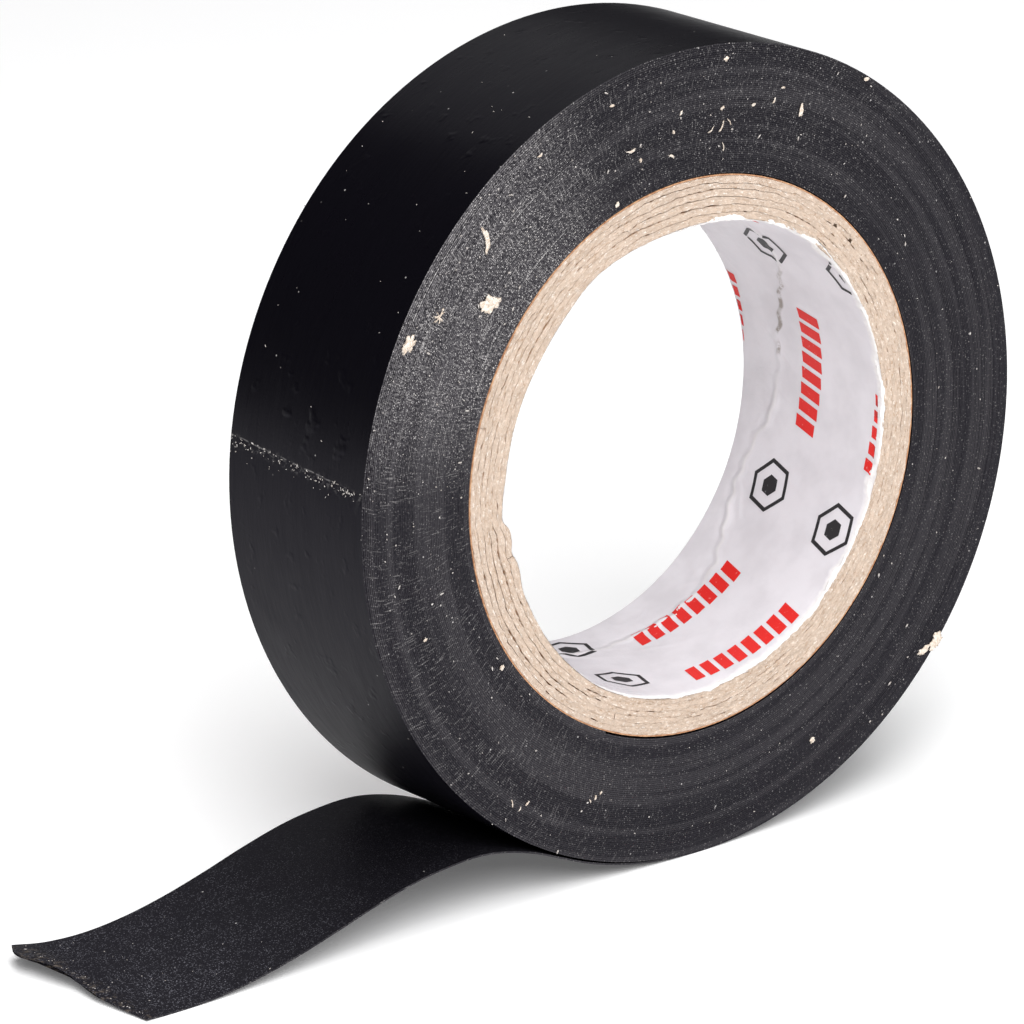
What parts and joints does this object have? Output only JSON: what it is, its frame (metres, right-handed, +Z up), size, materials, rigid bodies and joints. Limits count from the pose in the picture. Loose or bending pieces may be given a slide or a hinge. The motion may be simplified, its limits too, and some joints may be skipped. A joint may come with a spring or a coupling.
{
  "type": "electrical tape roll",
  "caption": "Roll of black vinyl insulating tape wound on a layered paper core, with a short peeled tail that flexes and unwinds.",
  "frame": {"origin": "centre of the roll on the core's bore axis, half way along its width", "axes": "+Y along the bore axis, away from the face seen in the rest view; +Z up when the roll stands on its edge; the free tail runs out to -X"},
  "size_m": [0.0773, 0.015, 0.0583],
  "materials": {
    "liner_paper": "matte",
    "chipboard": "matte",
    "kraft_paper": "matte",
    "vinyl": "satin"
  },
  "bodies": {
    "roll": {"core_liner": "liner_paper", "core_ply_1": "chipboard", "core_ply_2": "chipboard", "core_ply_3": "chipboard", "core_ply_4": "chipboard", "core_ply_5": "chipboard", "core_ply_6": "chipboard", "core_wrap": "kraft_paper", "tape_wound": "vinyl"},
    "tail_start": {"tail_root": "vinyl"},
    "tail_middle": {"tail_mid": "vinyl"},
    "tail_end": {"tail_tip": "vinyl"}
  },
  "joints": [
    {"name": "unwind", "type": "hinge", "parent": "roll", "child": "tail_start", "pos_m": [0, 0, 0], "axis": [0, 1, 0], "continuous": true},
    {"name": "tail_lift", "type": "hinge", "parent": "tail_start", "child": "tail_middle", "pos_m": [-0.01784, 0, -0.02471], "axis": [0, 1, 0], "range_deg": [-75, 40], "stiffness_Nm_per_rad": 0.000006},
    {"name": "tail_curl", "type": "hinge", "parent": "tail_middle", "child": "tail_end", "pos_m": [-0.03261, 0, -0.02709], "axis": [0, 1, 0], "range_deg": [-75, 45], "stiffness_Nm_per_rad": 0.000006}
  ]
}
